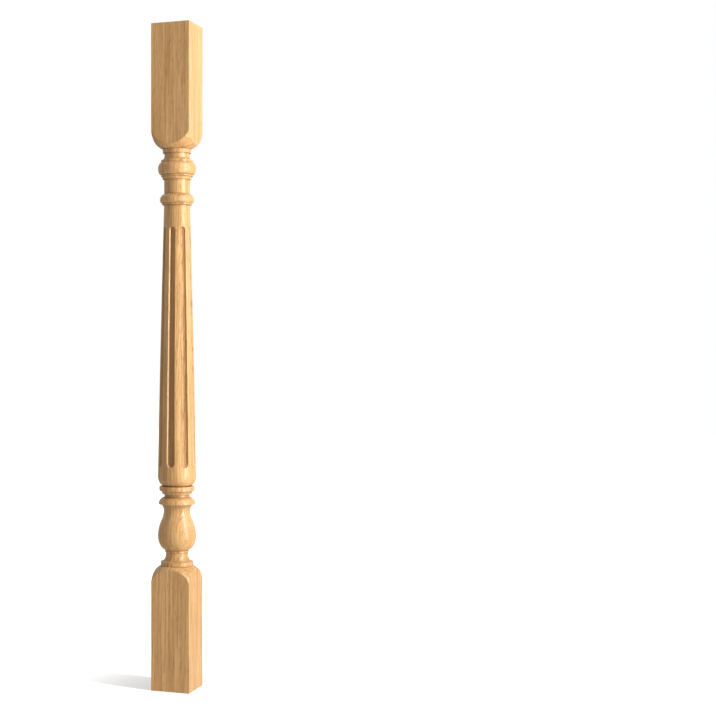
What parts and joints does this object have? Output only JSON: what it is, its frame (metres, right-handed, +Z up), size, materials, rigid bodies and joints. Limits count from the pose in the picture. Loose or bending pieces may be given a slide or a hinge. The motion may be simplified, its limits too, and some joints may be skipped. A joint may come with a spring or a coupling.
{
  "type": "carved wooden baluster",
  "caption": "Tapered wooden stair baluster with square end blocks, a fluted shaft, turned rings and a vase-shaped lower turning.",
  "frame": {"origin": "centre of the square underside, on the turning axis", "axes": "+Z up along the turning axis, with the flat sides of both end blocks looking along X and Y"},
  "size_m": [0.0544, 0.0544, 0.9],
  "materials": {
    "oak": "pale wood, taken for oak from its open straight grain, sanded smooth under what looks like a satin clear lacquer"
  },
  "bodies": {
    "root": {"baluster": "oak"}
  },
  "joints": []
}
